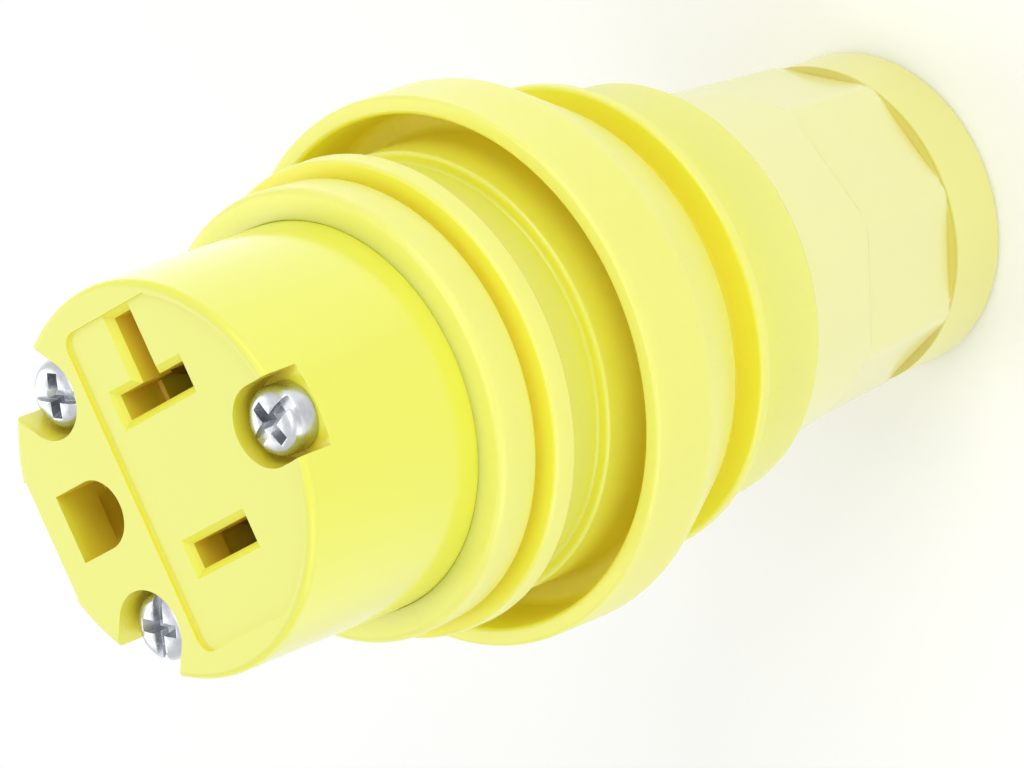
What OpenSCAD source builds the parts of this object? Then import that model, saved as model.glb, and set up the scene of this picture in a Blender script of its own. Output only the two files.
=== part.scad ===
// Watertight female cord connector: a rigid insert with the receptacle face, a ribbed sealing boot with
// a flared skirt, and a compression nut that grips the cord. It stands on the nut's end with the face up.
// Stations along the part, named with _s, are counted back from the face.

/* [Receptacle face] */
// Diameter of the front insert
insert_d = 31.75; // [30.5:0.25:38.5]
// Length of the insert, from the face to its rear rim
insert_len = 28; // [26:0.5:34]
// Distance between the two blade centres
blade_pitch = 12.7; // [12:0.1:15.3]
// Distance from the blade line to the ground pin's centre
ground_pitch = 11.9; // [11.4:0.1:12.2]
// How far the blade line lies off the insert's centre
blade_offset = 2.85; // [2.4:0.05:3.4]
// Clear length of the hot slot
hot_slot_l = 6.8; // [6.6:0.1:7.6]
// Clear length of the neutral slot's crossbar
neutral_slot_l = 8.1; // [7.6:0.1:8.6]
// Clear width of the slots
slot_w = 2.1; // [1.9:0.1:2.5]
// Width of the chamfer around each slot
slot_chamfer = 0.58; // [0.3:0.02:0.7]
// Reach of the neutral slot's stem beyond the crossbar's middle
stem_len = 6.45; // [5.5:0.05:6.8]
// Clear width of the ground hole
ground_hole_w = 5.6; // [5.2:0.1:6]
// Length of the ground hole from its flat side to the top of its arch
ground_hole_l = 6.5; // [6.2:0.1:6.8]
// Depth of the recessed field around the blade slots
field_depth = 0.35; // [0.2:0.05:0.6]
// Distance from the neutral slot to the field's straight edge
field_margin = 1.95; // [1.2:0.05:2.4]
// Width of the raised rim where the field meets the insert's side
field_rim = 0.9; // [0.7:0.05:1.4]
// Width of the key flat on the ground side
key_w = 10; // [8:0.5:11]
// Depth of the key flat
key_depth = 1.4; // [1:0.1:1.6]

/* [Screws] */
// Distance from the screws' bosses to the insert's side
boss_margin = 0.2; // [0.1:0.05:0.6]
// Angle of the two upper screws either side of the lower one
bolt_spread = 130; // [126:1:134]
// Shank diameter of the assembly screws
screw_d = 3; // [2.4:0.1:3.7]
// Head diameter of the assembly screws
screw_head_d = 5.6; // [5.2:0.1:5.8]
// Height of the screw heads
screw_head_h = 2.5; // [2:0.1:2.8]
// How far the heads lie below the face
head_drop = 0.9; // [0.5:0.1:1.4]
// Gap between a head and the wall of its pocket
pocket_gap = 0.55; // [0.4:0.05:0.8]
// Wall around the screws in the bosses and posts
boss_wall = 1.3; // [1:0.1:1.4]
// Wall of the threaded inserts
threaded_wall = 0.6; // [0.4:0.05:0.8]
// Length of the threaded inserts
threaded_len = 6; // [4:0.5:7]

/* [Sealing boot] */
// Length of the insert that the boot covers
boot_overlap = 9.5; // [8:0.5:11]
// Wall of the first rib over the bore
rib_1_wall = 2.5; // [2.2:0.1:3]
// Width of the first rib
rib_1_w = 4.2; // [3.4:0.1:5]
// Wall in the groove between the ribs
rib_gap_wall = 1; // [0.8:0.1:1.4]
// Width of the groove between the ribs
rib_gap = 0.9; // [0.8:0.1:1.4]
// Wall of the second rib
rib_2_wall = 3.5; // [2.8:0.1:4]
// Width of the second rib
rib_2_w = 2.3; // [1.9:0.1:3]
// Wall of the neck behind the ribs
neck_wall = 1.4; // [1.2:0.1:1.6]
// Length of the neck
neck_len = 4.9; // [4:0.1:6]
// Wall of the step inside the skirt
step_wall = 2.4; // [2.2:0.1:2.8]
// How far the skirt's rim lies behind the step's front
rim_setback = 1.2; // [0.6:0.1:2]
// Gap between the step and the skirt
skirt_gap = 2.7; // [2:0.1:3.5]
// Thickness of the skirt's rim
skirt_wall = 1.5; // [1.2:0.1:2]
// How much thicker the skirt is at its root
skirt_draft = 0.4; // [0:0.1:0.6]
// Length of the skirt's straight wall
skirt_len = 6.4; // [5:0.1:8]
// Depth of the space inside the skirt
skirt_depth = 6; // [4:0.1:6.5]
// Wall at the small end of the slope behind the skirt
slope_wall = 2.9; // [2.6:0.1:3.4]
// Length of that slope
slope_len = 7.1; // [6:0.1:9]
// Depth of the groove behind the slope
groove_depth = 2.3; // [1.8:0.1:2.6]
// Width of that groove
groove_w = 2.3; // [1.8:0.1:3]
// Height of the lip over the rear band
lip_h = 1.95; // [1.2:0.05:2.6]
// Thickness of the lip
lip_w = 1.2; // [0.9:0.1:2]
// Wall of the rear band around the nut
band_wall = 1.55; // [1.2:0.05:2]
// Length of the rear band
band_len = 8.5; // [7.5:0.1:10]

/* [Compression nut] */
// Wall of the nut at its front end
nut_wall = 4.25; // [3.8:0.05:4.6]
// How much smaller the nut's radius is at the rear of its flats
nut_taper = 1.85; // [1:0.05:2.4]
// Number of flats
nut_flats = 8; // [8:2:12]
// Angle that the flats are turned by
flats_turn = -8; // [-20:1:20]
// How much shallower the flats are than ones that meet at a sharp corner
corner_land = 0.12; // [0.05:0.01:0.3]
// Length of the nut inside the boot
nut_entry = 4.9; // [4:0.1:5.4]
// Length of the round collar outside the boot
nut_collar = 9.5; // [8:0.1:11]
// Length of the flats
nut_flat_len = 12.2; // [10:0.1:15]
// How much smaller the end ring's radius is than the nut's corners
ring_step = 0.35; // [0.2:0.05:0.5]
// Length of the end ring
ring_len = 6.2; // [5:0.1:8]
// Length of the flare in the ring's mouth
ring_flare = 1.2; // [0.6:0.1:1.6]
// Thickness of the shoulder that carries the washer, in front of the ring
seat_rise = 0.8; // [0.5:0.1:1.5]

/* [Cord gland] */
// Diameter of the cord that the grommet takes
cord_d = 10.5; // [8:0.1:12.6]
// Room around the cord in the nut's ring
ring_room = 2.75; // [2.2:0.05:3]
// Room around the cord in the washer
washer_room = 1.25; // [0.8:0.05:1.6]
// Thickness of the slip washer
washer_t = 1.4; // [1:0.1:1.7]
// How much smaller the grommet's radius is than the thread's
gland_inset = 0.9; // [0.8:0.05:1.2]
// Length of the conical mouth that the grommet sits in
mouth_len = 4; // [3:0.1:5]

/* [Inner parts] */
// Wall of the rear housing
housing_wall = 2; // [1.6:0.1:2.2]
// Wall of the boot around the housing's waist
waist_wall = 3; // [2.4:0.1:3.4]
// Step from the housing's waist down to the threaded spigot
spigot_step = 2.1; // [1.6:0.1:2.4]
// Wall of the threaded spigot
spigot_wall = 2.9; // [2.5:0.1:3.2]
// Reach of the spigot past the front of the nut's flats
spigot_reach = 3; // [2:0.1:4]
// Thickness of the contact retainer
retainer_t = 4; // [3:0.5:5]
// Thickness of the gasket behind the insert
gasket_t = 0.8; // [0.6:0.1:1.2]
// Thickness of the brass strip in the contacts
strip_t = 0.8; // [0.6:0.1:0.9]
// Width of the contact strip
strip_w = 6.2; // [5.2:0.1:7.5]
// Thickness of the terminal plates
plate_t = 1.6; // [1.2:0.1:2]
// Width of the terminal plates
plate_w = 6.6; // [5.6:0.1:7]
// Thickness of the clamp plates
clamp_t = 1.2; // [1:0.1:1.5]
// Side of the square clamp plates
clamp_side = 5.2; // [4.6:0.1:5.6]
// Shank diameter of the terminal screws
terminal_d = 3; // [2.5:0.1:3.6]
// Head diameter of the terminal screws
terminal_head_d = 5.2; // [4.6:0.1:5.6]
// Head height of the terminal screws
terminal_head_h = 2; // [1.6:0.1:2.4]

/* [Clearances] */
// Clearance between pieces that are fixed to each other
fit_gap = 0.1; // [0.05:0.01:0.15]
// Radial clearance of the nut on its thread
thread_gap = 0.06; // [0.02:0.01:0.1]
// Gap between pieces that turn against each other
turn_gap = 0.3; // [0.2:0.05:0.4]

/* [Hidden] */
$fn = 96;
past = 1;           // how far a cut runs past the face that it opens
arc_steps = 5;      // facets in a rounded corner of a turned outline
edge = 0.7;         // corner radius on the thick edges of the turned pieces
small_edge = 0.35;  // and on the thin ones

face_yellow = "#f0ee62";
boot_yellow = "#efe83e";
nut_yellow = "#f2eda0";
brass = "#c9a24a";

// Insert: radii and places in its face
insert_r = insert_d / 2;
room_r = insert_r - housing_wall;               // inside of the insert's recess and of the housing
blade_y = -blade_offset;
ground_y = blade_y + ground_pitch;
ground_flat_y = ground_y + ground_hole_w / 2 + fit_gap;
field_half = blade_pitch / 2 + stem_len + slot_chamfer;
field_edge = blade_y + neutral_slot_l / 2 + slot_chamfer + field_margin;
boss_r = screw_d / 2 + boss_wall;
bolt_r = insert_r - boss_margin - boss_r;
bolt_angles = [-90, -90 + bolt_spread, -90 - bolt_spread];
threaded_r = screw_d / 2 + threaded_wall;

// Insert: stations
pocket_s = head_drop + screw_head_h;            // floor of the screw pockets
slot_roof = 0.6;                                // wall left between that level and the cavities
cavity_s = pocket_s + slot_roof;
retainer_s = insert_len - retainer_t;
base_s = retainer_s - retainer_t;               // closed end of the contacts' jaws
housing_s = insert_len + gasket_t;
threaded_s = housing_s + fit_gap;
post_floor = 0.7;                               // closed end of the housing's posts
post_end_s = threaded_s + threaded_len + fit_gap + post_floor;

// Boot: stations from the front rib to the end of the band
rib_1_s = insert_len - boot_overlap;
rib_gap_s = rib_1_s + rib_1_w;
rib_2_s = rib_gap_s + rib_gap;
neck_s = rib_2_s + rib_2_w;
step_s = neck_s + neck_len;
rim_s = step_s + rim_setback;
skirt_floor_s = rim_s + skirt_depth;
slope_s = rim_s + skirt_len;
groove_s = slope_s + slope_len;
lip_s = groove_s + groove_w;
band_s = lip_s + lip_w;
band_end_s = band_s + band_len;

// Boot and housing: radii from the bore inwards to the thread
bore_r = insert_r + fit_gap;
step_r = bore_r + step_wall;
skirt_r = step_r + skirt_gap + skirt_wall;
slope_r = bore_r + slope_wall;
groove_r = slope_r - groove_depth;
waist_r = groove_r - waist_wall;
thread_r = waist_r - spigot_step;
spigot_bore_r = thread_r - spigot_wall;

// Nut: radii and stations
nut_bore_r = thread_r + thread_gap;
nut_front_r = nut_bore_r + nut_wall;
nut_rear_r = nut_front_r - nut_taper;
ring_r = nut_rear_r - ring_step;
nut_s = band_end_s - nut_entry;
flat_s = band_end_s + nut_collar;
ring_s = flat_s + nut_flat_len;
end_s = ring_s + ring_len;
seat_s = ring_s - seat_rise;

// Boot around the nut
nut_pocket_s = nut_s - 2 * turn_gap;
nut_pocket_r = nut_front_r + turn_gap;
band_r = nut_pocket_r + band_wall;

// Housing: the step down to its waist, and the groove that the boot's bead sits in
shoulder_s = groove_s - groove_w;
waist_s = shoulder_s + insert_r - waist_r;
bead_w = 2.4;
bead_h = 0.9;
bead_s = post_end_s + bead_h;

// Gland
gland_r = thread_r - gland_inset;
spigot_end_s = flat_s + spigot_reach;
mouth_flare = mouth_len / 2;                    // how much wider the spigot's mouth is than its bore
washer_s = seat_s - fit_gap - washer_t;
grommet_end_s = washer_s - fit_gap;
grommet_s = spigot_end_s - mouth_len + turn_gap;

// Terminals behind the retainer: each plate runs from its tail out to the housing's wall
tail_shoulder = 1.1;                            // how much narrower the tail is on each side than the strip
tail_w = strip_w - 2 * tail_shoulder;
plate_gap = turn_gap;
plate_len = sqrt(pow(room_r - plate_gap, 2) - pow(blade_offset + plate_w / 2, 2)) - blade_pitch / 2;
plate_screw = plate_len / 2 + strip_t / 4;      // from the tail to the terminal screw
clamp_s = insert_len + plate_t;
head_s = clamp_s + clamp_t;

// Height of a station above the surface that the part stands on
function at(s) = end_s - s;

// Points of the corner b between a and c, rounded to radius r
function unit(v) = v / norm(v);
function turned(v) = atan2(v[1], v[0]);
function wrap(a) = a > 180 ? a - 360 : a < -180 ? a + 360 : a;
function corner(a, b, c, r) = r == 0 ? [b] : let (
    u = unit(a - b), v = unit(c - b), half = acos(u * v) / 2,
    middle = b + unit(u + v) * r / sin(half),
    from = turned(b + u * r / tan(half) - middle), to = turned(b + v * r / tan(half) - middle),
    sweep = wrap(to - from))
    [for (k = [0:arc_steps]) let (t = from + sweep * k / arc_steps) middle + r * [cos(t), sin(t)]];
function place(p) = [p[0], at(p[1])];
function outline(p) = let (n = len(p)) [for (i = [0:n - 1])
    each corner(place(p[(i + n - 1) % n]), place(p[i]), place(p[(i + 1) % n]), p[i][2])];

// A turned solid from points of radius, station and corner radius
module turned_solid(points) { rotate_extrude() polygon(outline(points)); }

// A flat shape raised between two stations
module block(s_front, s_rear) { translate([0, 0, at(s_rear)]) linear_extrude(s_rear - s_front) children(); }

module rod(r, s_front, s_rear) { block(s_front, s_rear) circle(r); }

module at_bolts() { for (a = bolt_angles) rotate(a) translate([bolt_r, 0, 0]) children(); }

// The mouth of a slot, chamfered on all four sides by two crossing trapezoids
module slot_mouth(l, w) {
    intersection() {
        rotate([90, 0, 90]) translate([0, 0, -w]) linear_extrude(2 * w) mouth_shape(l);
        rotate([90, 0, 0]) translate([0, 0, -l]) linear_extrude(2 * l) mouth_shape(w);
    }
}

module mouth_shape(w) {
    top = at(field_depth);
    half = w / 2;
    c = slot_chamfer;
    polygon([[-half, top - c], [half, top - c], [half + c, top], [half + c, top + past],
        [-half - c, top + past], [-half - c, top]]);
}

module slot(l, w) {
    block(field_depth, cavity_s + past) square([w, l], center = true);
    slot_mouth(l, w);
}

// Neutral opening: the crossbar and a stem that runs out to the end of the field
module neutral_slot() {
    slot(neutral_slot_l, slot_w);
    translate([stem_len / 2, 0, 0]) slot(slot_w, stem_len);
}

// Ground hole: an arch towards the blades and a flat side away from them
module ground_shape() {
    arch_r = ground_hole_w / 2;
    arch_y = ground_flat_y - ground_hole_l + arch_r;
    translate([0, arch_y]) circle(arch_r);
    translate([-arch_r, arch_y]) square([ground_hole_w, ground_flat_y - arch_y]);
}

// Recessed field: two round corners, and cut on the other side by the rim of the face
module field_shape() {
    corner_r = 1.3;
    inner_half = field_half - corner_r;
    intersection() {
        circle(insert_r - field_rim);
        union() {
            translate([-field_half, -insert_r]) square([2 * field_half, insert_r + field_edge - corner_r]);
            translate([-inner_half, -insert_r]) square([2 * inner_half, insert_r + field_edge]);
            for (x = [-inner_half, inner_half]) translate([x, field_edge - corner_r]) circle(corner_r);
        }
    }
}

// Screw pocket: round around the head and open through the insert's side
module pocket_shape() {
    pocket_r = screw_head_d / 2 + pocket_gap;
    circle(pocket_r);
    translate([0, -pocket_r]) square([insert_r, 2 * pocket_r]);
}

// Cavities behind the slots, open to the rear for the contacts
module contact_cavities() {
    cavity_w = 5.6;
    end_room = 0.5;
    cavity_l = strip_w + 2 * end_room;
    for (x = [-1, 1]) translate([x * blade_pitch / 2, blade_y]) square([cavity_w, cavity_l], center = true);
    translate([blade_pitch / 2, blade_y - cavity_w / 2]) square([stem_len, cavity_w]);
    translate([0, ground_y]) circle(ground_hole_w / 2 + edge);
}

// Front insert of rigid nylon, moulded with the receptacle face
module face_body() {
    face_edge = 0.6;
    color(face_yellow) difference() {
        turned_solid([[0, 0, 0], [insert_r, 0, face_edge], [insert_r, insert_len, 0], [0, insert_len, 0]]);
        block(-past, field_depth) field_shape();
        translate([-blade_pitch / 2, blade_y, 0]) slot(hot_slot_l, slot_w);
        translate([blade_pitch / 2, blade_y, 0]) neutral_slot();
        block(-past, cavity_s + past) ground_shape();
        block(cavity_s, insert_len + past) contact_cavities();
        at_bolts() {
            block(-past, pocket_s) pocket_shape();
            rod(screw_d / 2 + fit_gap, 0, insert_len + past);
        }
        difference() {
            rod(room_r, retainer_s, insert_len + past);
            at_bolts() rod(boss_r, retainer_s - past, insert_len + 2 * past);
        }
        block(-past, rib_1_s - past) translate([-key_w / 2, insert_r - key_depth]) square([key_w, insert_r]);
    }
}

// Disc that closes the contact cavities and carries the terminals
module contact_retainer() {
    hole_floor = 0.5;
    color("dimgray") difference() {
        rod(room_r - fit_gap, retainer_s, insert_len);
        at_bolts() rod(boss_r + fit_gap, retainer_s - past, insert_len + past);
        terminals() {
            block(retainer_s - past, insert_len + past)
                square([strip_t + 2 * fit_gap, tail_w + 2 * fit_gap], center = true);
            translate([plate_screw, 0, 0])
                rod(terminal_d / 2 + fit_gap, retainer_s + hole_floor, insert_len + past);
        }
    }
}

// Flat ring of soft rubber between the insert and the housing
module face_gasket() {
    color("#333333") difference() {
        rod(insert_r - fit_gap, insert_len, housing_s);
        rod(bolt_r + screw_d / 2 + fit_gap, insert_len - past, housing_s + past);
    }
}

// Rigid rear housing: wiring chamber, screw posts and the threaded spigot
module rear_housing() {
    waist_room_r = waist_r - housing_wall;
    mouth_r = spigot_bore_r + mouth_flare;
    color("#e3dc3a") difference() {
        union() {
            turned_solid([[room_r, housing_s, 0], [insert_r, housing_s, 0], [insert_r, bead_s, 0],
                [insert_r - bead_h, bead_s, 0], [insert_r - bead_h, bead_s + bead_w, 0],
                [insert_r, bead_s + bead_w, 0], [insert_r, shoulder_s, 0], [waist_r, waist_s, 0],
                [waist_r, nut_pocket_s, 0], [thread_r, nut_pocket_s, 0], [thread_r, spigot_end_s, 0],
                [mouth_r, spigot_end_s, 0], [spigot_bore_r, spigot_end_s - mouth_len, 0],
                [spigot_bore_r, nut_pocket_s, 0], [waist_room_r, nut_pocket_s - housing_wall, 0],
                [waist_room_r, waist_s - housing_wall / 2, 0], [room_r, shoulder_s - housing_wall / 2, 0]]);
            at_bolts() rod(boss_r, threaded_s, post_end_s);
        }
        at_bolts() rod(threaded_r + fit_gap / 2, housing_s - past, threaded_s + threaded_len + fit_gap);
    }
}

// Soft boot: two ribs, a neck, a step, the flared skirt, its slope, a lip and the rear band
module sealing_boot() {
    rib_1_r = bore_r + rib_1_wall;
    rib_1_draft = 0.2;
    rib_gap_r = bore_r + rib_gap_wall;
    rib_2_r = bore_r + rib_2_wall;
    neck_r = bore_r + neck_wall;
    skirt_bore_r = skirt_r - skirt_wall;
    lip_r = band_r + lip_h;
    color(boot_yellow) turned_solid([
        [bore_r, rib_1_s, 0], [rib_1_r, rib_1_s, edge], [rib_1_r - rib_1_draft, rib_gap_s, small_edge],
        [rib_gap_r, rib_gap_s, 0], [rib_gap_r, rib_2_s, 0],
        [rib_2_r, rib_2_s, small_edge], [rib_2_r, neck_s, small_edge],
        [neck_r, neck_s, small_edge], [neck_r, step_s, small_edge],
        [step_r, step_s, small_edge], [step_r, skirt_floor_s, edge],
        [skirt_bore_r - skirt_draft, skirt_floor_s, edge], [skirt_bore_r, rim_s, small_edge],
        [skirt_r, rim_s, small_edge], [skirt_r, slope_s, edge], [slope_r, groove_s, small_edge],
        [groove_r, groove_s, edge], [groove_r, lip_s, edge],
        [lip_r, lip_s, small_edge], [lip_r, band_s, small_edge],
        [band_r, band_s, small_edge], [band_r, band_end_s, edge],
        [nut_pocket_r, band_end_s, small_edge], [nut_pocket_r, nut_pocket_s, 0],
        [waist_r + fit_gap, nut_pocket_s, 0], [waist_r + fit_gap, waist_s + fit_gap, 0],
        [bore_r, shoulder_s + fit_gap, 0], [bore_r, bead_s + bead_w - fit_gap, 0],
        [bore_r - bead_h, bead_s + bead_w - fit_gap, 0], [bore_r - bead_h, bead_s + fit_gap, 0],
        [bore_r, bead_s + fit_gap, 0]]);
}

// Compression nut of pale nylon: round collar, tapered flats and a round end ring
module compression_nut() {
    slope = nut_taper / (ring_s - nut_s);
    share = cos(180 / nut_flats);               // distance of a flat for a corner radius of 1
    flat_r = (nut_front_r - slope * (flat_s - nut_s)) * share + corner_land;
    gland_room_r = gland_r + turn_gap;
    thread_end_s = spigot_end_s + 2 * edge;
    hole_r = cord_d / 2 + ring_room;
    cutter = 4 * nut_flat_len;
    color(nut_yellow) difference() {
        turned_solid([[nut_bore_r, nut_s, 0], [nut_front_r, nut_s, edge], [nut_rear_r, ring_s, 0],
            [ring_r, ring_s, 0], [ring_r, end_s, edge], [hole_r + ring_flare, end_s, 0],
            [hole_r, end_s - ring_flare, 0], [hole_r, seat_s, 0], [gland_room_r, seat_s, 0],
            [gland_room_r, thread_end_s + edge, 0], [nut_bore_r, thread_end_s, 0]]);
        intersection() {
            rod(2 * nut_front_r, flat_s, ring_s);
            for (i = [0:nut_flats - 1]) rotate(flats_turn + (i + 0.5) * 360 / nut_flats)
                translate([flat_r, 0, at(flat_s)]) rotate([0, -atan(slope * share), 0])
                translate([0, -cutter / 2, -cutter / 2]) cube(cutter);
        }
    }
}

// Washer of slippery plastic that lets the nut turn without dragging the grommet
module slip_washer() {
    color("ivory") difference() {
        rod(gland_r, washer_s, washer_s + washer_t);
        rod(cord_d / 2 + washer_room, washer_s - past, washer_s + washer_t + past);
    }
}

// Rubber grommet: a cone in the spigot's mouth and a flange in the nut
module cord_grommet() {
    slack = 1.5 * fit_gap;
    mouth_r = spigot_bore_r + mouth_flare - slack;
    nose_r = mouth_r - mouth_flare * (spigot_end_s - grommet_s) / mouth_len;
    color("#2b2b2b") turned_solid([[cord_d / 2, grommet_s, 0], [nose_r, grommet_s, 0],
        [mouth_r, spigot_end_s + fit_gap, 0], [gland_r, spigot_end_s + turn_gap, 0],
        [gland_r, grommet_end_s, 0], [cord_d / 2, grommet_end_s, 0]]);
}

// Three pan-head screws that draw the insert and the housing together
module assembly_screws() {
    head_r = screw_head_d / 2;
    head_round = 1.1;
    drive_w = 0.9;
    drive_l = 3.5;
    drive_depth = 1.1;
    tip_s = threaded_s + threaded_len - 4 * fit_gap;
    color("silver") at_bolts() difference() {
        union() {
            turned_solid([[0, head_drop, 0], [head_r, head_drop, head_round],
                [head_r, pocket_s, 0], [0, pocket_s, 0]]);
            rod(screw_d / 2, pocket_s, tip_s);
        }
        for (a = [0, 90]) rotate(a) block(head_drop - past, head_drop + drive_depth)
            square([drive_w, drive_l], center = true);
    }
}

// Brass inserts in the housing's posts that the screws turn into
module threaded_inserts() {
    color(brass) at_bolts() difference() {
        rod(threaded_r, threaded_s, threaded_s + threaded_len);
        rod(screw_d / 2 + fit_gap / 2, threaded_s - past, threaded_s + threaded_len + past);
    }
}

// Places of the three terminals, with the plate running along +X of each
module hot_place() { translate([-blade_pitch / 2, blade_y, 0]) rotate(180) children(); }
module neutral_place() { translate([blade_pitch / 2, blade_y, 0]) children(); }
module ground_place() { translate([0, ground_y, 0]) rotate(-90) children(); }
module terminals() {
    hot_place() children();
    neutral_place() children();
    ground_place() children();
}

// Spring jaws that grip a flat blade over the width w, pinched near the mouth
module blade_jaws(w) {
    mouth_gap = 0.4;
    pinch_len = 3;
    belly_len = 5;
    mouth_s = cavity_s + mouth_gap;
    pinch_s = mouth_s + pinch_len;
    belly_s = pinch_s + belly_len;
    mouth_x = 1.5;
    pinch_x = 0.65;
    belly_x = 1.5;
    t = strip_t;
    rotate([90, 0, 0]) translate([0, 0, -w / 2]) linear_extrude(w) {
        for (side = [-1, 1]) polygon([for (p = [[mouth_x, mouth_s], [pinch_x, pinch_s], [belly_x, belly_s],
            [belly_x, base_s], [belly_x + t, base_s], [belly_x + t, belly_s], [pinch_x + t, pinch_s],
            [mouth_x + t, mouth_s]]) [side * p[0], at(p[1])]]);
        translate([-belly_x - t, at(base_s + t)]) square([2 * (belly_x + t), t]);
    }
}

// Tail through the retainer and the terminal plate that it is bent into
module terminal_tail() {
    difference() {
        union() {
            block(base_s, clamp_s) square([strip_t, tail_w], center = true);
            block(insert_len, clamp_s) translate([-strip_t / 2, -plate_w / 2])
                square([plate_len + strip_t / 2, plate_w]);
        }
        translate([plate_screw, 0, 0]) rod(terminal_d / 2 + fit_gap, insert_len - past, clamp_s + past);
    }
}

module hot_contact() {
    color(brass) hot_place() {
        blade_jaws(strip_w);
        terminal_tail();
    }
}

// The neutral contact grips a blade in either direction of its T-shaped opening
module neutral_contact() {
    stem_w = 3;
    stem_mid = stem_len - stem_w / 2 - slot_chamfer;
    color(brass) neutral_place() {
        blade_jaws(strip_w);
        translate([stem_mid, 0, 0]) rotate(90) blade_jaws(stem_w);
        block(base_s, base_s + strip_t) translate([0, -tail_w / 2]) square([stem_mid, tail_w]);
        terminal_tail();
    }
}

// Split sleeve for the round ground pin
module ground_contact() {
    sleeve_r = 2.45;
    sleeve_gap = 2.2;
    sleeve_s = cavity_s + sleeve_gap;
    slit_w = 0.9;
    whole_len = 3;                              // closed stretch at the root of the sleeve
    slit_end_s = base_s - whole_len;
    color(brass) ground_place() {
        difference() {
            rod(sleeve_r + strip_t, sleeve_s, base_s + strip_t);
            rod(sleeve_r, sleeve_s - past, base_s);
            block(sleeve_s - past, slit_end_s) square([slit_w, 4 * sleeve_r], center = true);
        }
        terminal_tail();
    }
}

// Plate that presses a wire onto the terminal plate
module clamp_plate() {
    color("silver") translate([plate_screw, 0, 0]) difference() {
        block(clamp_s, head_s) square(clamp_side, center = true);
        rod(terminal_d / 2 + fit_gap, clamp_s - past, head_s + past);
    }
}

module terminal_screw(finish) {
    head_r = terminal_head_d / 2;
    head_round = 0.6;
    slit_w = 0.7;
    slit_s = head_s + terminal_head_h / 2;
    head_end_s = head_s + terminal_head_h;
    tip_s = retainer_s + past;
    color(finish) translate([plate_screw, 0, 0]) difference() {
        union() {
            turned_solid([[0, head_s, 0], [head_r, head_s, 0],
                [head_r, head_end_s, head_round], [0, head_end_s, 0]]);
            rod(terminal_d / 2, tip_s, head_s);
        }
        block(slit_s, head_end_s + past) square([slit_w, 2 * terminal_head_d], center = true);
    }
}

module hot_clamp() { hot_place() clamp_plate(); }
module neutral_clamp() { neutral_place() clamp_plate(); }
module ground_clamp() { ground_place() clamp_plate(); }
module hot_terminal_screw() { hot_place() terminal_screw(brass); }
module neutral_terminal_screw() { neutral_place() terminal_screw("silver"); }
module ground_terminal_screw() { ground_place() terminal_screw("#3f8f4a"); }

face_body();
contact_retainer();
face_gasket();
rear_housing();
sealing_boot();
compression_nut();
slip_washer();
cord_grommet();
assembly_screws();
threaded_inserts();
hot_contact();
neutral_contact();
ground_contact();
hot_clamp();
neutral_clamp();
ground_clamp();
hot_terminal_screw();
neutral_terminal_screw();
ground_terminal_screw();
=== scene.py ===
import math

import bmesh
import bpy
from mathutils import Matrix, Vector


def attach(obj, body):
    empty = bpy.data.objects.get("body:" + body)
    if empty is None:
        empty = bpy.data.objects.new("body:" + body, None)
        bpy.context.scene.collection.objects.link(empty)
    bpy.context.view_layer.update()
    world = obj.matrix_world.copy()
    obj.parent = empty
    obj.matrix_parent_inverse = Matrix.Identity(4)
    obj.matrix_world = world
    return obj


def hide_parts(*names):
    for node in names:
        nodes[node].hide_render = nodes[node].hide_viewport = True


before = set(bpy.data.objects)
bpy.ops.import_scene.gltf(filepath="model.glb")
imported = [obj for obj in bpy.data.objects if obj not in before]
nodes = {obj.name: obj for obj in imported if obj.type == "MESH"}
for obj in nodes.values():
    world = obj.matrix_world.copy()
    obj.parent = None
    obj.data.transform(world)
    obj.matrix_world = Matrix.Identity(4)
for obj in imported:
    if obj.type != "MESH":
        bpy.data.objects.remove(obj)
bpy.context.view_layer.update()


# Receptacle insert: one stiff nylon moulding with the slots, the ground hole and three open screw pockets.
# Its side is polished in the mould, its face is finely eroded and matt, and each edge has a small radius.
# Lengths here and below are in mm, and MM turns them into metres. A name in _M is in metres already.
MM = 0.001
LENGTH = 85.4
WELD_M = 1e-6
SMALLEST_EDGE_M = 2e-6
SHARP_EDGE = math.radians(32)
SMOOTH_UNDER = math.radians(38)
CLOUD_MM = 7.0
CLOUD_SHARE = 0.12
PAINTED_LIGHT_FROM = 0.6
PAINTED_LIGHT_FULL = 1.1
HOLLOW_UNDER = 0.2
OPEN_OVER = 0.65
MATT_RISE = 0.4
SKIN_SPREAD = 0.08
FACE_EDGE = 0.14
FACE_MATT_FROM = 0.75
FACE_MATT_FULL = 0.45
FACE_ROUGH = 0.5


def height(station):
    """Height above the floor of a station, which is counted in mm back from the face."""
    return (LENGTH - station) * MM


def linear(hex_colour):
    """Linear colour with alpha from an sRGB hex value."""
    parts = [int(hex_colour[i:i + 2], 16) / 255 for i in (1, 3, 5)]
    return [c / 12.92 if c <= 0.04045 else ((c + 0.055) / 1.055) ** 2.4 for c in parts] + [1.0]


def add_node(tree, kind, settings, inputs):
    """Adds a node, sets its properties, and sets or links its inputs."""
    node = tree.nodes.new(kind)
    for name, value in settings.items():
        setattr(node, name, value)
    for name, value in inputs.items():
        if isinstance(value, bpy.types.NodeSocket):
            tree.links.new(value, node.inputs[name])
        else:
            node.inputs[name].default_value = value
    return node


def new_material(name):
    """An empty material with a shader and its output."""
    material = bpy.data.materials.new(name)
    material.use_nodes = True
    tree = material.node_tree
    tree.nodes.clear()
    shader = add_node(tree, "ShaderNodeBsdfPrincipled", {}, {})
    add_node(tree, "ShaderNodeOutputMaterial", {}, {"Surface": shader.outputs["BSDF"]})
    return material, tree, shader


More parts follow.
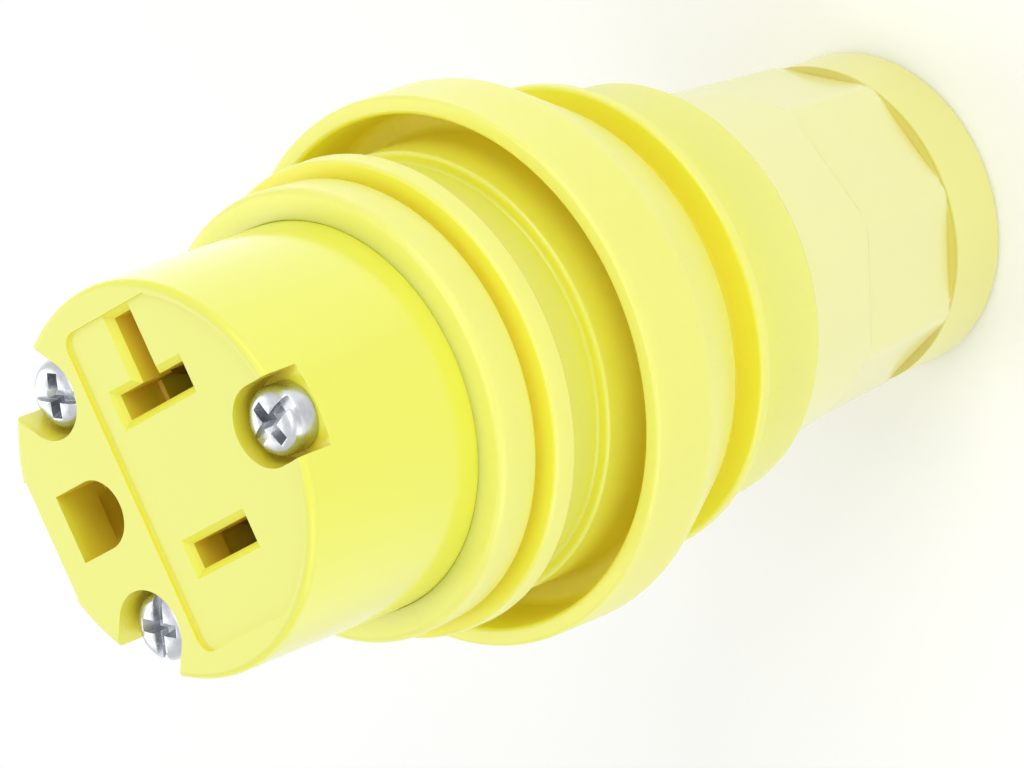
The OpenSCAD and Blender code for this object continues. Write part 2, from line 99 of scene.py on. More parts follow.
def moulded_plastic(name, painted_lit_colour, painted_shade, painted_hollow_shade,
                    hollow_mm, rough, gloss, grain_mm, grain_height_mm):
    """Pigmented plastic from a mould: faint clouds of pigment, a fine grain and a clear outer skin.
    Open faces are painted paler, which stands for light and sheen. Sheltered faces get a painted shade.
    Hollows are matt and get a painted warmer shade, which stands for light bounced and carried inside the
    plastic."""
    material, tree, shader = new_material(name)
    place = add_node(tree, "ShaderNodeTexCoord", {}, {}).outputs["Object"]
    clouds = add_node(tree, "ShaderNodeTexNoise", {}, {
        "Vector": place, "Scale": 1 / (CLOUD_MM * MM), "Detail": 3.0, "Roughness": 0.5})
    around = add_node(tree, "ShaderNodeAmbientOcclusion", {"only_local": True, "samples": 8}, {
        "Distance": hollow_mm * MM})
    uneven = add_node(tree, "ShaderNodeMath", {"operation": "MULTIPLY_ADD"}, {
        0: clouds.outputs["Fac"], 1: CLOUD_SHARE, 2: around.outputs["AO"]})
    # Painted light: ambient occlusion, made uneven by the clouds, blends from the painted shade to the paler
    # painted colour on open faces.
    painted_light = add_node(tree, "ShaderNodeMapRange", {"interpolation_type": "SMOOTHSTEP"}, {
        "Value": uneven.outputs[0], "From Min": PAINTED_LIGHT_FROM, "From Max": PAINTED_LIGHT_FULL})
    shade = add_node(tree, "ShaderNodeMix", {"data_type": "RGBA"}, {
        0: painted_light.outputs["Result"], 6: linear(painted_shade), 7: linear(painted_lit_colour)})
    # Painted shade: where ambient occlusion is low, the warm hollow colour takes over. The same mask makes
    # the hollows matt.
    lit = add_node(tree, "ShaderNodeMapRange", {}, {
        "Value": around.outputs["AO"], "From Min": HOLLOW_UNDER, "From Max": OPEN_OVER})
    colour = add_node(tree, "ShaderNodeMix", {"data_type": "RGBA"}, {
        0: lit.outputs["Result"], 6: linear(painted_hollow_shade), 7: shade.outputs[2]})
    matt = add_node(tree, "ShaderNodeMapRange", {}, {
        "Value": lit.outputs["Result"],
        "To Min": rough + MATT_RISE - SKIN_SPREAD / 2, "To Max": rough - SKIN_SPREAD / 2})
    skin = add_node(tree, "ShaderNodeMath", {"operation": "MULTIPLY_ADD"}, {
        0: clouds.outputs["Fac"], 1: SKIN_SPREAD, 2: matt.outputs["Result"]})
    grain = add_node(tree, "ShaderNodeTexNoise", {}, {
        "Vector": place, "Scale": 1 / (grain_mm * MM), "Detail": 2.0, "Roughness": 0.6})
    bump = add_node(tree, "ShaderNodeBump", {}, {
        "Height": grain.outputs["Fac"], "Strength": 1.0, "Distance": grain_height_mm * MM})
    tree.links.new(colour.outputs[2], shader.inputs["Base Color"])
    tree.links.new(skin.outputs[0], shader.inputs["Roughness"])
    tree.links.new(bump.outputs["Normal"], shader.inputs["Normal"])
    shader.inputs["IOR"].default_value = 1.53
    shader.inputs["Coat Weight"].default_value = gloss
    shader.inputs["Coat Roughness"].default_value = 0.16
    shader.inputs["Coat IOR"].default_value = 1.6
    return material, tree, shader


def cad_copy(node):
    """A CAD solid's surface as whole flat faces."""
    bm = bmesh.new()
    bm.from_mesh(nodes[node].data)
    bmesh.ops.remove_doubles(bm, verts=bm.verts, dist=WELD_M)
    bmesh.ops.dissolve_limit(bm, angle_limit=math.radians(0.4), verts=bm.verts, edges=bm.edges)
    return bm


def soften(bm, width, segments=2):
    """Rounds the sharp edges by a width in mm, as a mould or a press leaves them."""
    sharp = [e for e in bm.edges if e.is_manifold and e.calc_face_angle() > SHARP_EDGE]
    bmesh.ops.bevel(bm, geom=sharp, offset=width * MM, affect="EDGES", segments=segments, profile=0.5,
                    clamp_overlap=True, material=-1)
    bmesh.ops.dissolve_degenerate(bm, dist=SMALLEST_EDGE_M, edges=bm.edges)
    return bm


def add_object(name, data):
    """Puts a new object with this data into the scene."""
    made = bpy.data.objects.new(name, data)
    bpy.context.scene.collection.objects.link(made)
    return made


def make_piece(name, bm, material, body, slot, *stands_for):
    """Turns a finished bmesh into a piece that rides on a body and stands for CAD nodes."""
    mesh = bpy.data.meshes.new(name)
    bm.to_mesh(mesh)
    bm.free()
    mesh.shade_smooth()
    mesh.set_sharp_from_angle(angle=SMOOTH_UNDER)
    mesh.materials.append(material)
    piece = add_object(name, mesh)
    piece.modifiers.new("even_normals", "WEIGHTED_NORMAL").keep_sharp = True
    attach(piece, body)
    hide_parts(*stands_for)


def position(tree, axis):
    """Where a point lies along one axis of its piece, in metres."""
    place = add_node(tree, "ShaderNodeTexCoord", {}, {}).outputs["Object"]
    return add_node(tree, "ShaderNodeSeparateXYZ", {}, {"Vector": place}).outputs[axis]


# Nylon 6/6 from a polished mould: full yellow under a clear gloss. Open faces are painted paler, and a
# painted golden shade lies inside the slots.
insert_nylon, tree, shader = moulded_plastic(
    "insert_nylon_6_6", "#f3f556", "#f3f142", "#f6d03a",
    hollow_mm=7.0, rough=0.22, gloss=0.5, grain_mm=0.45, grain_height_mm=0.003)
# The eroded face is less glossy than the side below it. A painted pale sheen on its level parts stands for
# the light it scatters.
# Its edges and chamfers slope, so they get no painted sheen and show as lines of full yellow.
along = position(tree, "Z")
on_face = add_node(tree, "ShaderNodeMapRange", {}, {
    "Value": along, "From Min": height(FACE_MATT_FROM), "From Max": height(FACE_MATT_FULL)})
facing = add_node(tree, "ShaderNodeNewGeometry", {}, {}).outputs["Normal"]
facing = add_node(tree, "ShaderNodeSeparateXYZ", {}, {"Vector": facing})
level = add_node(tree, "ShaderNodeMapRange", {}, {
    "Value": facing.outputs["Z"], "From Min": 0.8, "From Max": 0.99})
painted_face_sheen = add_node(tree, "ShaderNodeMath", {"operation": "MULTIPLY"}, {
    0: on_face.outputs["Result"], 1: level.outputs["Result"]})
face_colour = add_node(tree, "ShaderNodeMix", {"data_type": "RGBA"}, {
    0: painted_face_sheen.outputs[0], 6: shader.inputs["Base Color"].links[0].from_socket, 7: linear("#ecee6c")})
face_rough = add_node(tree, "ShaderNodeMix", {"data_type": "FLOAT"}, {
    0: on_face.outputs["Result"], 2: shader.inputs["Roughness"].links[0].from_socket, 3: FACE_ROUGH})
tree.links.new(face_colour.outputs[2], shader.inputs["Base Color"])
tree.links.new(face_rough.outputs[0], shader.inputs["Roughness"])
make_piece("receptacle_insert", soften(cad_copy("face_body"), FACE_EDGE, 3), insert_nylon, "connector",
           "face_nylon", "face_body")


# Contacts: spring jaws and a split sleeve pressed from brass strip, pushed into the insert from behind.
# Each ends in a plate under its terminal screw.
SCRATCH_SQUASH = 0.15
SCRATCH_DEPTH = 0.006
SHEEN_BRIGHTER = 0.06
SHEEN_DULLER = 0.1


def rolled_metal(name, light, deep, rough, cloud_mm, scratch_mm):
    """Bare or plated metal: a clouded sheen, and scratches drawn about 3 times too wide, so they show."""
    material, tree, shader = new_material(name)
    place = add_node(tree, "ShaderNodeTexCoord", {}, {}).outputs["Object"]
    clouds = add_node(tree, "ShaderNodeTexNoise", {}, {
        "Vector": place, "Scale": 1 / (cloud_mm * MM), "Detail": 4.0, "Roughness": 0.6})
    colour = add_node(tree, "ShaderNodeMix", {"data_type": "RGBA"}, {
        0: clouds.outputs["Fac"], 6: linear(deep), 7: linear(light)})
    stretched = add_node(tree, "ShaderNodeMapping", {}, {"Vector": place, "Scale": (1, 1, SCRATCH_SQUASH)})
    scratches = add_node(tree, "ShaderNodeTexNoise", {}, {
        "Vector": stretched.outputs["Vector"], "Scale": 1 / (scratch_mm * MM), "Detail": 2.0})
    bump = add_node(tree, "ShaderNodeBump", {}, {
        "Height": scratches.outputs["Fac"], "Strength": 0.6, "Distance": SCRATCH_DEPTH * MM})
    sheen = add_node(tree, "ShaderNodeMapRange", {}, {
        "Value": clouds.outputs["Fac"], "From Min": 0.3, "From Max": 0.7,
        "To Min": rough - SHEEN_BRIGHTER, "To Max": rough + SHEEN_DULLER})
    tree.links.new(colour.outputs[2], shader.inputs["Base Color"])
    tree.links.new(sheen.outputs["Result"], shader.inputs["Roughness"])
    tree.links.new(bump.outputs["Normal"], shader.inputs["Normal"])
    shader.inputs["Metallic"].default_value = 1.0
    return material


# Rolled brass strip: a warm, slightly clouded shine, seen deep in the slots.
brass_strip = rolled_metal("rolled_brass", "#d9b45c", "#bd9340", rough=0.3, cloud_mm=3.0, scratch_mm=0.25)
for pole in ("hot", "neutral", "ground"):
    make_piece(pole + "_brass_contact", soften(cad_copy(pole + "_contact"), 0.1), brass_strip,
               "connector", "brass", pole + "_contact")


# Contact retainer: a disc of dark thermoset, pressed to shape, that shuts the contacts into the insert.
# The three bosses of the insert pass its edge and keep it from turning.
# The filler in the thermoset leaves a dull, grainy surface.
# Its open faces are painted a little paler, and sheltered faces and hollows get a painted darker shade.
retainer_thermoset = moulded_plastic(
    "retainer_thermoset", "#4a4846", "#3c3a39", "#3c3a39",
    hollow_mm=2.0, rough=0.45, gloss=0.1, grain_mm=0.3, grain_height_mm=0.01)[0]
make_piece("contact_retainer_disc", soften(cad_copy("contact_retainer"), 0.2), retainer_thermoset,
           "connector", "retainer_thermoset", "contact_retainer")


# Wire clamps: small nickel-plated steel squares that a terminal screw presses onto the wire.
# They are stamped, so their edges are a little rolled. The nickel shines a warm grey.
nickel = rolled_metal("nickel_plate", "#cfccc4", "#b4b0a6", rough=0.24, cloud_mm=2.0, scratch_mm=0.2)
for pole in ("hot", "neutral", "ground"):
    make_piece(pole + "_wire_clamp", soften(cad_copy(pole + "_clamp"), 0.15), nickel, "connector",
               "nickel", pole + "_clamp")


# Terminal screws: slotted binding screws, brass for hot, zinc-plated for neutral and dyed green for ground.
# They turn into the plates of the contacts.
# Zinc plating is a bright cool grey with darker clouds; the dye over it gives a green metal sheen.
zinc = rolled_metal("zinc_plated_steel", "#d2d4d7", "#b0b4ba", rough=0.28, cloud_mm=0.9, scratch_mm=0.15)
green_dye = rolled_metal("green_dyed_steel", "#3f8f4a", "#2f7a3c", rough=0.34, cloud_mm=1.5, scratch_mm=0.2)
for pole, finish, slot in (("hot", brass_strip, "brass"), ("neutral", zinc, "zinc_steel"),
                           ("ground", green_dye, "green_steel")):
    make_piece(pole + "_binding_screw", soften(cad_copy(pole + "_terminal_screw"), 0.08), finish,
               "connector", slot, pole + "_terminal_screw")


# Gasket: a flat ring cut from black rubber sheet.
# It is squeezed between the insert and the housing by the assembly screws.
# The rubber is nearly black, dull and finely grained.
# Its open faces are painted a little paler, and sheltered faces and hollows get a painted darker shade.
black_rubber = moulded_plastic(
    "black_rubber", "#2c2b2a", "#222120", "#222120",
    hollow_mm=2.0, rough=0.55, gloss=0.0, grain_mm=0.4, grain_height_mm=0.012)[0]
make_piece("face_seal", soften(cad_copy("face_gasket"), 0.1), black_rubber, "connector", "black_rubber",
           "face_gasket")


# Threaded inserts: brass bushes, turned from bar and pressed hot into the housing's posts.
# The assembly screws end in them.
make_piece("post_bushes", soften(cad_copy("threaded_inserts"), 0.12), brass_strip, "connector", "brass",
           "threaded_inserts")


# Rear housing: a stiff nylon cup with the wiring chamber, and a spigot with a coarse thread for the nut.
# The thread is moulded into the spigot, so its crests keep the spigot's own radius.
CREST = 11.475
ROOT = 10.95
PITCH = 2.0
SPIGOT_FROM = 51.9
THREAD_FRONT = 53.0
THREAD_REAR = 69.0
THREAD_STEPS = 72
FOOT_SHARE = 0.36
TOP_SHARE = 0.1
SUNK = 0.1
ON_CREST = 0.03


def add_thread(bm, crest, root, pitch, front, rear, per_turn):
    """Winds a closed ridge round the axis between two stations, with its foot sunk into the core."""
    turns = int((rear - front) / pitch)
    half = FOOT_SHARE * pitch
    top = TOP_SHARE * pitch
    start = height(front)
    rise = [(root - SUNK, half), (crest, top), (crest, -top), (root - SUNK, -half)]
    ring = [bm.verts.new((r * MM, 0, start + z * MM)) for r, z in rise]
    loop = [bm.edges.new((ring[i - 1], ring[i])) for i in range(len(ring))]
    before = set(bm.verts) - set(ring)
    bmesh.ops.spin(bm, geom=ring + loop, cent=(0, 0, 0), axis=(0, 0, 1), dvec=(0, 0, -pitch * MM / per_turn),
                   angle=turns * math.tau, steps=turns * per_turn)
    wound = [v for v in bm.verts if v not in before]
    ends = {e for v in wound for e in v.link_edges if e.is_boundary}
    bmesh.ops.holes_fill(bm, edges=list(ends), sides=0)
    faces = {f for v in wound for f in v.link_faces}
    bmesh.ops.recalc_face_normals(bm, faces=list(faces))


# The same nylon as the insert, from a plainer mould: a deeper yellow with less gloss. Open faces are painted
# paler, and hollows get a painted golden shade.
housing_nylon = moulded_plastic(
    "housing_nylon_6_6", "#eee63f", "#e6dd36", "#e6c234",
    hollow_mm=5.0, rough=0.33, gloss=0.4, grain_mm=0.5, grain_height_mm=0.006)[0]
housing = cad_copy("rear_housing")
for v in housing.verts:
    r = math.hypot(v.co.x, v.co.y) / MM
    if abs(r - CREST) < ON_CREST and v.co.z < height(SPIGOT_FROM):
        v.co.x *= ROOT / r
        v.co.y *= ROOT / r
soften(housing, 0.15)
add_thread(housing, CREST, ROOT, PITCH, THREAD_FRONT, THREAD_REAR, THREAD_STEPS)
make_piece("wiring_housing", housing, housing_nylon, "connector", "housing_nylon", "rear_housing")


# Assembly screws: three zinc-plated steel machine screws with pan heads and a combined cross and slot drive.
# They go in from the face and draw the insert and the housing together.
BOLT_CIRCLE = 12.875
HEAD_R = 2.8
HEAD_TOP = 0.9
HEAD_SEAT = 3.4
SHANK_R = 1.5
SHANK_END = 34.5
SCREW_ROOT_R = 1.25
SCREW_CREST_R = SHANK_R - 0.02
SCREW_THREAD = 25.0
SCREW_PITCH = 0.5
SCREW_RUNOUT = 0.6
SCREW_STEPS = 48
SCREW_THREAD_STEPS = 20
SCREW_AND_DRIVE_ANGLES = ((-90, 20), (40, -24), (140, 62))


def drive_cutter(width, length, depth, foot):
    """A wedge for the drive's slot or a pair of its wings, narrower and shorter at its foot."""
    bm = bmesh.new()
    bmesh.ops.create_cube(bm, size=1)
    bmesh.ops.scale(bm, vec=(width * MM, length * MM, 2 * depth * MM), verts=bm.verts)
    low = [v for v in bm.verts if v.co.z < 0]
    bmesh.ops.scale(bm, vec=(foot, foot, 1), verts=low)
    bmesh.ops.translate(bm, vec=(0, 0, height(HEAD_TOP)), verts=bm.verts)
    return bm


def cut_away(bm, cutters):
    """Takes the cutters out of a solid."""
    blanks = []
    for shape in [bm] + cutters:
        mesh = bpy.data.meshes.new("blank")
        shape.to_mesh(mesh)
        blanks.append(add_object("blank", mesh))
    for cutter in blanks[1:]:
        cut = blanks[0].modifiers.new("cut", "BOOLEAN")
        cut.operation = "DIFFERENCE"
        cut.solver = "EXACT"
        cut.object = cutter
    whole = blanks[0].evaluated_get(bpy.context.evaluated_depsgraph_get())
    result = bmesh.new()
    result.from_mesh(whole.to_mesh())
    for blank in blanks:
        bpy.data.objects.remove(blank)
    return result


def turned(corners, steps):
    """Spins an outline of (radius, station) about the axis, and merges the poles."""
    bm = bmesh.new()
    ring = [bm.verts.new((r * MM, 0, height(s))) for r, s in corners]
    line = [bm.edges.new(pair) for pair in zip(ring, ring[1:])]
    bmesh.ops.spin(bm, geom=ring + line, cent=(0, 0, 0), axis=(0, 0, 1), angle=math.tau, steps=steps,
                   use_merge=True)
    bmesh.ops.remove_doubles(bm, verts=bm.verts, dist=1e-7)
    bmesh.ops.recalc_face_normals(bm, faces=bm.faces)
    return bm


screw = turned([
    (0, HEAD_TOP), (1.5, HEAD_TOP + 0.03), (2.05, HEAD_TOP + 0.1), (2.4, HEAD_TOP + 0.25),
    (2.64, HEAD_TOP + 0.5), (2.77, HEAD_TOP + 0.8), (HEAD_R, HEAD_TOP + 1.1), (HEAD_R, HEAD_SEAT - 0.15),
    (HEAD_R - 0.12, HEAD_SEAT), (SHANK_R, HEAD_SEAT), (SHANK_R, SCREW_THREAD),
    (SCREW_ROOT_R, SCREW_THREAD + 0.3), (SCREW_ROOT_R, SHANK_END - 0.4), (0.9, SHANK_END),
    (0, SHANK_END)], SCREW_STEPS)
slot_cut = drive_cutter(width=1.05, length=6.2, depth=0.7, foot=0.9)
wings = [drive_cutter(width, length, depth=1.4, foot=0.5) for width, length in ((1.4, 4.9), (4.9, 1.4))]
screw = cut_away(screw, [slot_cut] + wings)
bmesh.ops.remove_doubles(screw, verts=screw.verts, dist=WELD_M)
soften(screw, 0.05)
add_thread(screw, SCREW_CREST_R, SCREW_ROOT_R, SCREW_PITCH, SCREW_THREAD + SCREW_RUNOUT,
           SHANK_END - SCREW_RUNOUT, SCREW_THREAD_STEPS)
one_screw = bpy.data.meshes.new("one_screw")
screw.to_mesh(one_screw)
screw.free()
screws = bmesh.new()
for angle, drive in SCREW_AND_DRIVE_ANGLES:
    before = set(screws.verts)
    screws.from_mesh(one_screw)
    new = [v for v in screws.verts if v not in before]
    bmesh.ops.rotate(screws, cent=(0, 0, 0), matrix=Matrix.Rotation(math.radians(drive), 3, "Z"), verts=new)
    out = Matrix.Rotation(math.radians(angle), 3, "Z") @ Vector((BOLT_CIRCLE * MM, 0, 0))
    bmesh.ops.translate(screws, vec=out, verts=new)
make_piece("machine_screws", screws, zinc, "connector", "zinc_steel", "assembly_screws")


# Sealing boot: one piece of soft elastomer, moulded over a core and stretched onto insert and housing.
# Two ribs and the flared skirt seal on the mating half; the rear band covers the start of the nut.
BOOT_STEPS = 180
FLASH_FOOT = 0.12
FLASH_TOP = 0.02
FLASH_HEIGHT = 0.015
BOOT = [
    # Two ribs with a groove between them: radius, station and how much the corner is rounded.
    (15.9, 18.5, 0.12), (18.475, 18.5, 0.7), (18.275, 22.7, 0.35), (16.975, 22.7, 0.2),
    (16.975, 23.6, 0.2), (19.475, 23.6, 0.35), (19.475, 25.9, 0.35),
    # Neck and step.
    (17.375, 25.9, 0.35), (17.375, 30.8, 0.35), (18.375, 30.8, 0.35), (18.375, 38.0, 0.7),
    # Skirt, from the foot of its inside to the end of its slope.
    (20.675, 38.0, 0.7), (21.075, 32.0, 0.35), (22.575, 32.0, 0.35), (22.575, 38.4, 0.7),
    (18.875, 45.5, 0.35),
    # Groove and lip.
    (16.575, 45.5, 0.7), (16.575, 47.8, 0.7), (19.585, 47.8, 0.35), (19.585, 49.0, 0.35),
    # Rear band.
    (17.635, 49.0, 0.35), (17.635, 57.5, 0.7), (16.085, 57.5, 0.35), (16.085, 52.0, 0),
    # Bore, with a bead that grips the housing.
    (13.675, 52.0, 0), (13.675, 45.6, 0), (15.975, 43.3, 0), (15.975, 38.9, 0), (15.075, 38.9, 0),
    (15.075, 36.7, 0), (15.975, 36.7, 0), (15.9, 18.5, 0)]


def round_corners(bm, corners):
    """Rounds the rings that an outline's corners of (radius, station, round) made."""
    for width in sorted({c[2] for c in corners if c[2]}):
        picked = [(r * MM, height(s)) for r, s, w in corners if w == width]
        rings = [e for e in bm.edges if any(
            all(abs(v.co.xy.length - r) < WELD_M and abs(v.co.z - z) < WELD_M for v in e.verts)
            for r, z in picked)]
        bmesh.ops.bevel(bm, geom=rings, offset=width * MM, affect="EDGES", segments=4, profile=0.5,
                        clamp_overlap=True, material=-1)


# Thermoplastic elastomer: soft yellow with a satin skin. Light goes some way in as subsurface scattering.
# The golden glow of the hollows is a painted warm shade, and open faces are painted paler.
boot_elastomer, tree, shader = moulded_plastic(
    "boot_elastomer", "#f9f982", "#f9f64c", "#ffee54",
    hollow_mm=5.0, rough=0.32, gloss=0.0, grain_mm=0.6, grain_height_mm=0.002)
shader.inputs["IOR"].default_value = 1.6
shader.inputs["Subsurface Weight"].default_value = 0.6
shader.inputs["Subsurface Radius"].default_value = (1.0, 0.85, 0.25)
shader.inputs["Subsurface Scale"].default_value = 3.0 * MM
# The two halves of the mould leave a fine raised line along the boot on both sides.
off_line = add_node(tree, "ShaderNodeMath", {"operation": "ABSOLUTE"}, {0: position(tree, "Y")})
flash = add_node(tree, "ShaderNodeMapRange", {"interpolation_type": "SMOOTHSTEP"}, {
    "Value": off_line.outputs[0], "From Min": FLASH_FOOT * MM, "From Max": FLASH_TOP * MM})
flash_bump = add_node(tree, "ShaderNodeBump", {}, {
    "Height": flash.outputs["Result"], "Strength": 1.0, "Distance": FLASH_HEIGHT * MM,
    "Normal": shader.inputs["Normal"].links[0].from_socket})
tree.links.new(flash_bump.outputs["Normal"], shader.inputs["Normal"])
boot = turned([c[:2] for c in BOOT], BOOT_STEPS)
round_corners(boot, BOOT)
make_piece("ribbed_boot", boot, boot_elastomer, "connector", "boot_elastomer", "sealing_boot")


# Cord grommet: a soft cone with a flange, moulded from the gasket's black rubber.
# The nut squeezes it into the housing's mouth round the cord.
make_piece("rubber_grommet", soften(cad_copy("cord_grommet"), 0.35, 3), black_rubber, "gland",
           "black_rubber", "cord_grommet")


# Slip washer: a flat ring punched from acetal sheet, between the grommet and the nut.
# It lets the nut turn without dragging the rubber round. Acetal is a milky white with a waxy gloss.
# Its open faces are painted paler, and its hollows get a painted warm, darker shade.
washer_acetal = moulded_plastic(
    "washer_acetal", "#efece2", "#e6e2d6", "#ddd3bb",
    hollow_mm=2.0, rough=0.35, gloss=0.2, grain_mm=0.5, grain_height_mm=0.004)[0]
make_piece("acetal_washer", soften(cad_copy("slip_washer"), 0.15), washer_acetal, "gland",
           "washer_acetal", "slip_washer")


# Compression nut: a pale nylon moulding with a round collar, eight tapered wrench flats and an end ring.
# It screws onto the housing's spigot. A plane ramp leads from the collar down to each flat.
NUT_BORE = 11.535
OUTSIDE_FROM = NUT_BORE + 0.5
NUT_FRONT = 52.6
NUT_FRONT_R = 15.785
NUT_SLOPE = 1.85 / 26.6
RAMP_END = 68.2
RAMP_SLOPE = 0.8
RAMP_STEP = 0.15
FLATS_REAR = 79.2
RING_R = 13.585
FLATS = 8
FLATS_TURN = math.radians(-8)
LAND = 0.12
CORNER_POWER = 160
NUT_STEPS = 288
ON_STATION = 0.01


def cone(station):
    """Radius of the nut's tapered outside."""
    return NUT_FRONT_R - NUT_SLOPE * (station - NUT_FRONT)


def flat_radius(station, angle):
    """Radius of a flat or its ramp in a direction. A high power takes the lower of flat and cone, and rounds
    the corner where they meet."""
    step = math.tau / FLATS
    off = (angle - FLATS_TURN) % step - step / 2
    flat = cone(station) * math.cos(step / 2) + LAND
    ramp = max(0, RAMP_END - station) * RAMP_SLOPE
    planes = (flat + ramp) / math.cos(off)
    return (cone(station) ** -CORNER_POWER + planes ** -CORNER_POWER) ** (-1 / CORNER_POWER)


ramp_stations = [RAMP_END + RAMP_STEP * i for i in range(-12, 3)]
flat_stations = ramp_stations + [71.0, 75.0, FLATS_REAR - 0.5, FLATS_REAR - 0.12]
NUT = [(NUT_BORE, NUT_FRONT, 0.2), (NUT_FRONT_R, NUT_FRONT, 0.7)]
NUT += [(cone(s), s, 0) for s in flat_stations]
# End ring, cord entry, seat of the washer, and the bore back to the front.
NUT += [(RING_R, FLATS_REAR, 0.18), (RING_R, LENGTH, 0.7),
        (9.2, LENGTH, 0.3), (8.0, 84.2, 0.3), (8.0, 78.4, 0.2),
        (10.875, 78.4, 0), (10.875, 72.1, 0),
        (NUT_BORE, 71.4, 0), (NUT_BORE, NUT_FRONT, 0)]
nut = turned([c[:2] for c in NUT], NUT_STEPS)
for v in nut.verts:
    station = LENGTH - v.co.z / MM
    r = v.co.xy.length / MM
    if r > OUTSIDE_FROM and any(abs(station - s) < ON_STATION for s in flat_stations):
        share = flat_radius(station, math.atan2(v.co.y, v.co.x)) / r
        v.co.x *= share
        v.co.y *= share
round_corners(nut, NUT)
# Nylon 6 with little pigment: pale cream yellow with a soft gloss that shows the flats. Open faces are
# painted paler, and hollows get a painted golden shade.
nut_nylon, tree, shader = moulded_plastic(
    "nut_nylon_6", "#f8f7ae", "#f4ed90", "#dcc642",
    hollow_mm=1.6, rough=0.32, gloss=0.6, grain_mm=0.5, grain_height_mm=0.004)
# The end ring gets a painted shade that makes it yellower than the flats. The shade is deepest at its
# shoulder, where the flats end.
along = position(tree, "Z")
on_ring = add_node(tree, "ShaderNodeMapRange", {}, {
    "Value": along, "From Min": height(FLATS_REAR - 0.2), "From Max": height(FLATS_REAR + 0.05)})
past_shoulder = add_node(tree, "ShaderNodeMapRange", {"interpolation_type": "SMOOTHSTEP"}, {
    "Value": along, "From Min": height(FLATS_REAR + 0.15), "From Max": height(FLATS_REAR + 0.6)})
ring_painted_shade = add_node(tree, "ShaderNodeMix", {"data_type": "RGBA"}, {
    0: past_shoulder.outputs["Result"], 6: linear("#e2d846"), 7: linear("#fcfbda")})
ring_colour = add_node(tree, "ShaderNodeMix", {"data_type": "RGBA", "blend_type": "MULTIPLY"}, {
    0: on_ring.outputs["Result"], 6: shader.inputs["Base Color"].links[0].from_socket,
    7: ring_painted_shade.outputs[2]})
tree.links.new(ring_colour.outputs[2], shader.inputs["Base Color"])
make_piece("wrench_nut", nut, nut_nylon, "nut", "nut_nylon", "compression_nut")


# Floor: a pale matt sheet under the part, wide enough to be the whole background.
# It takes the part's shadow and sends white light back onto the sides.
# Bright cards to the left and right of the part show only as reflections in its glossy sides.
FLOOR_HALF_M = 4.0
CARD_MIDDLE = -20.0
CARD_FROM = 50.0
CARD_FULL = 85.0
CARD_STRENGTH = 0.4
FLOOR_LIFT = 0.14


def seen_directly(tree):
    """One for a ray from the camera, a reflection or glass, and zero for light that spreads.
    The second output is one for a reflection alone."""
    path = add_node(tree, "ShaderNodeLightPath", {}, {})
    seen = add_node(tree, "ShaderNodeMath", {"operation": "MAXIMUM"}, {
        0: path.outputs["Is Camera Ray"], 1: path.outputs["Is Glossy Ray"]})
    seen = add_node(tree, "ShaderNodeMath", {"operation": "MAXIMUM"}, {
        0: seen.outputs[0], 1: path.outputs["Is Transmission Ray"]})
    return seen.outputs[0], path.outputs["Is Glossy Ray"]


sheet = bmesh.new()
bmesh.ops.create_grid(sheet, x_segments=1, y_segments=1, size=FLOOR_HALF_M)
floor_mesh = bpy.data.meshes.new("floor")
sheet.to_mesh(floor_mesh)
sheet.free()
pale_sheet, tree, shader = new_material("pale_matt_sheet")
shader.inputs["Base Color"].default_value = linear("#f6f6f6")
shader.inputs["Roughness"].default_value = 0.9
shader.inputs["Specular IOR Level"].default_value = 0.0
seen, mirrored = seen_directly(tree)
beside = add_node(tree, "ShaderNodeMath", {"operation": "SUBTRACT"}, {
    0: position(tree, "X"), 1: CARD_MIDDLE * MM})
beside = add_node(tree, "ShaderNodeMath", {"operation": "ABSOLUTE"}, {0: beside.outputs[0]})
card = add_node(tree, "ShaderNodeMapRange", {"interpolation_type": "SMOOTHSTEP"}, {
    "Value": beside.outputs[0], "From Min": CARD_FROM * MM, "From Max": CARD_FULL * MM,
    "To Max": CARD_STRENGTH})
card = add_node(tree, "ShaderNodeMath", {"operation": "MULTIPLY"}, {0: card.outputs["Result"], 1: mirrored})
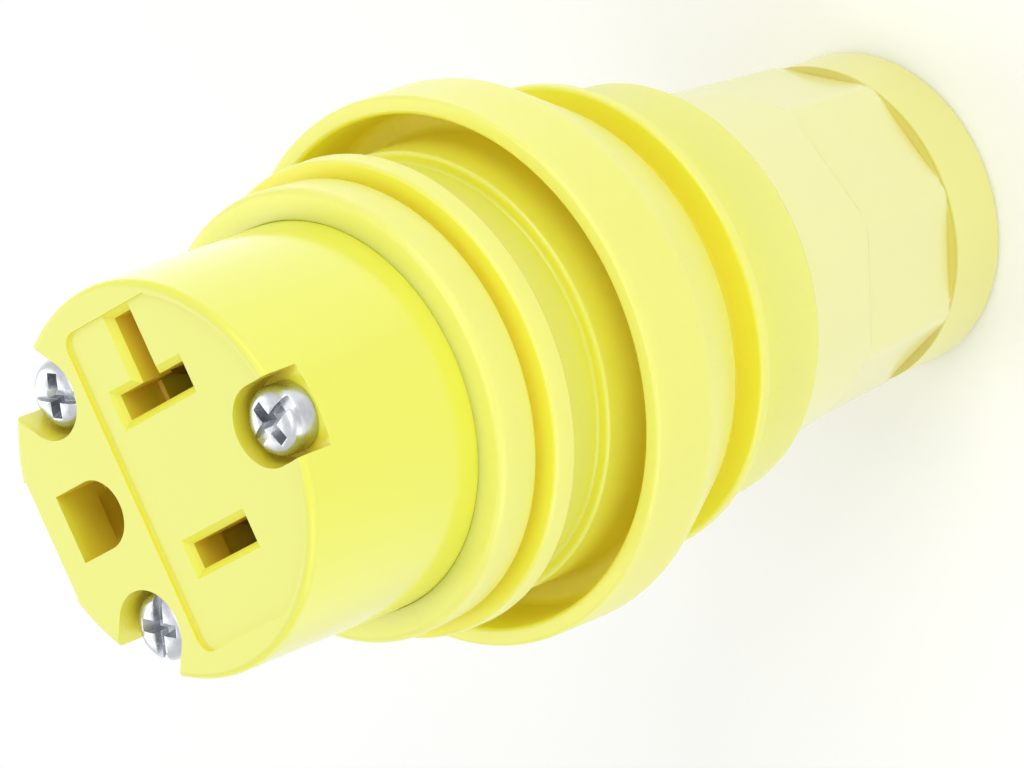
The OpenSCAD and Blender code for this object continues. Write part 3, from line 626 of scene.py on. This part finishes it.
lift = add_node(tree, "ShaderNodeMath", {"operation": "MULTIPLY_ADD"}, {
    0: seen, 1: FLOOR_LIFT, 2: card.outputs[0]})
tree.links.new(lift.outputs[0], shader.inputs["Emission Strength"])
shader.inputs["Emission Color"].default_value = linear("#ffffff")
floor_mesh.materials.append(pale_sheet)
floor = add_object("floor", floor_mesh)


# Light: a white room all round, and four large soft boxes.
# What the camera and the reflections see of the room is plain white.
ROOM_LIGHT = 0.53
world = bpy.data.worlds.new("white_room")
bpy.context.scene.world = world
world.use_nodes = True
room = world.node_tree
room.nodes.clear()
seen = seen_directly(room)[0]
level = add_node(room, "ShaderNodeMapRange", {}, {"Value": seen, "To Min": ROOM_LIGHT, "To Max": 1.0})
backdrop = add_node(room, "ShaderNodeBackground", {}, {
    "Color": linear("#ffffff"), "Strength": level.outputs["Result"]})
add_node(room, "ShaderNodeOutputWorld", {}, {"Surface": backdrop.outputs["Background"]})

middle = Vector((0, 0, height(LENGTH / 2)))
for name, spot, side, power in (("key_box", (0.5, -0.68, 0.45), 0.6, 2.5),
                                ("top_box", (0.04, -0.08, 0.95), 0.5, 1.3),
                                ("fill_box", (-0.7, -0.3, 0.35), 0.6, 1.7),
                                ("back_box", (0.2, 0.75, 0.45), 0.6, 1.7)):
    lamp = bpy.data.lights.new(name, "AREA")
    lamp.size = side
    lamp.energy = power
    box = add_object(name, lamp)
    box.location = spot
    box.rotation_euler = (middle - Vector(spot)).to_track_quat("-Z", "Y").to_euler()


# Camera: a long lens that looks down on the face from the front.
# It is turned on its side, so that the standing part lies across the picture.
camera = bpy.data.cameras.new("camera")
camera.lens = 284.57
camera.sensor_width = 36.0
eye = add_object("camera", camera)
bpy.context.scene.camera = eye
stands_at = Vector((-0.04048, -0.46204, 0.49546))
looking = Vector((0.0585, 0.7164, -0.6952)).normalized()
upward = Vector((0.9091, -0.326, -0.2594)).normalized()
turn = Matrix((looking.cross(upward), upward, -looking)).transposed().to_4x4()
eye.matrix_world = Matrix.Translation(stands_at) @ turn
bpy.context.scene.view_settings.view_transform = "Standard"
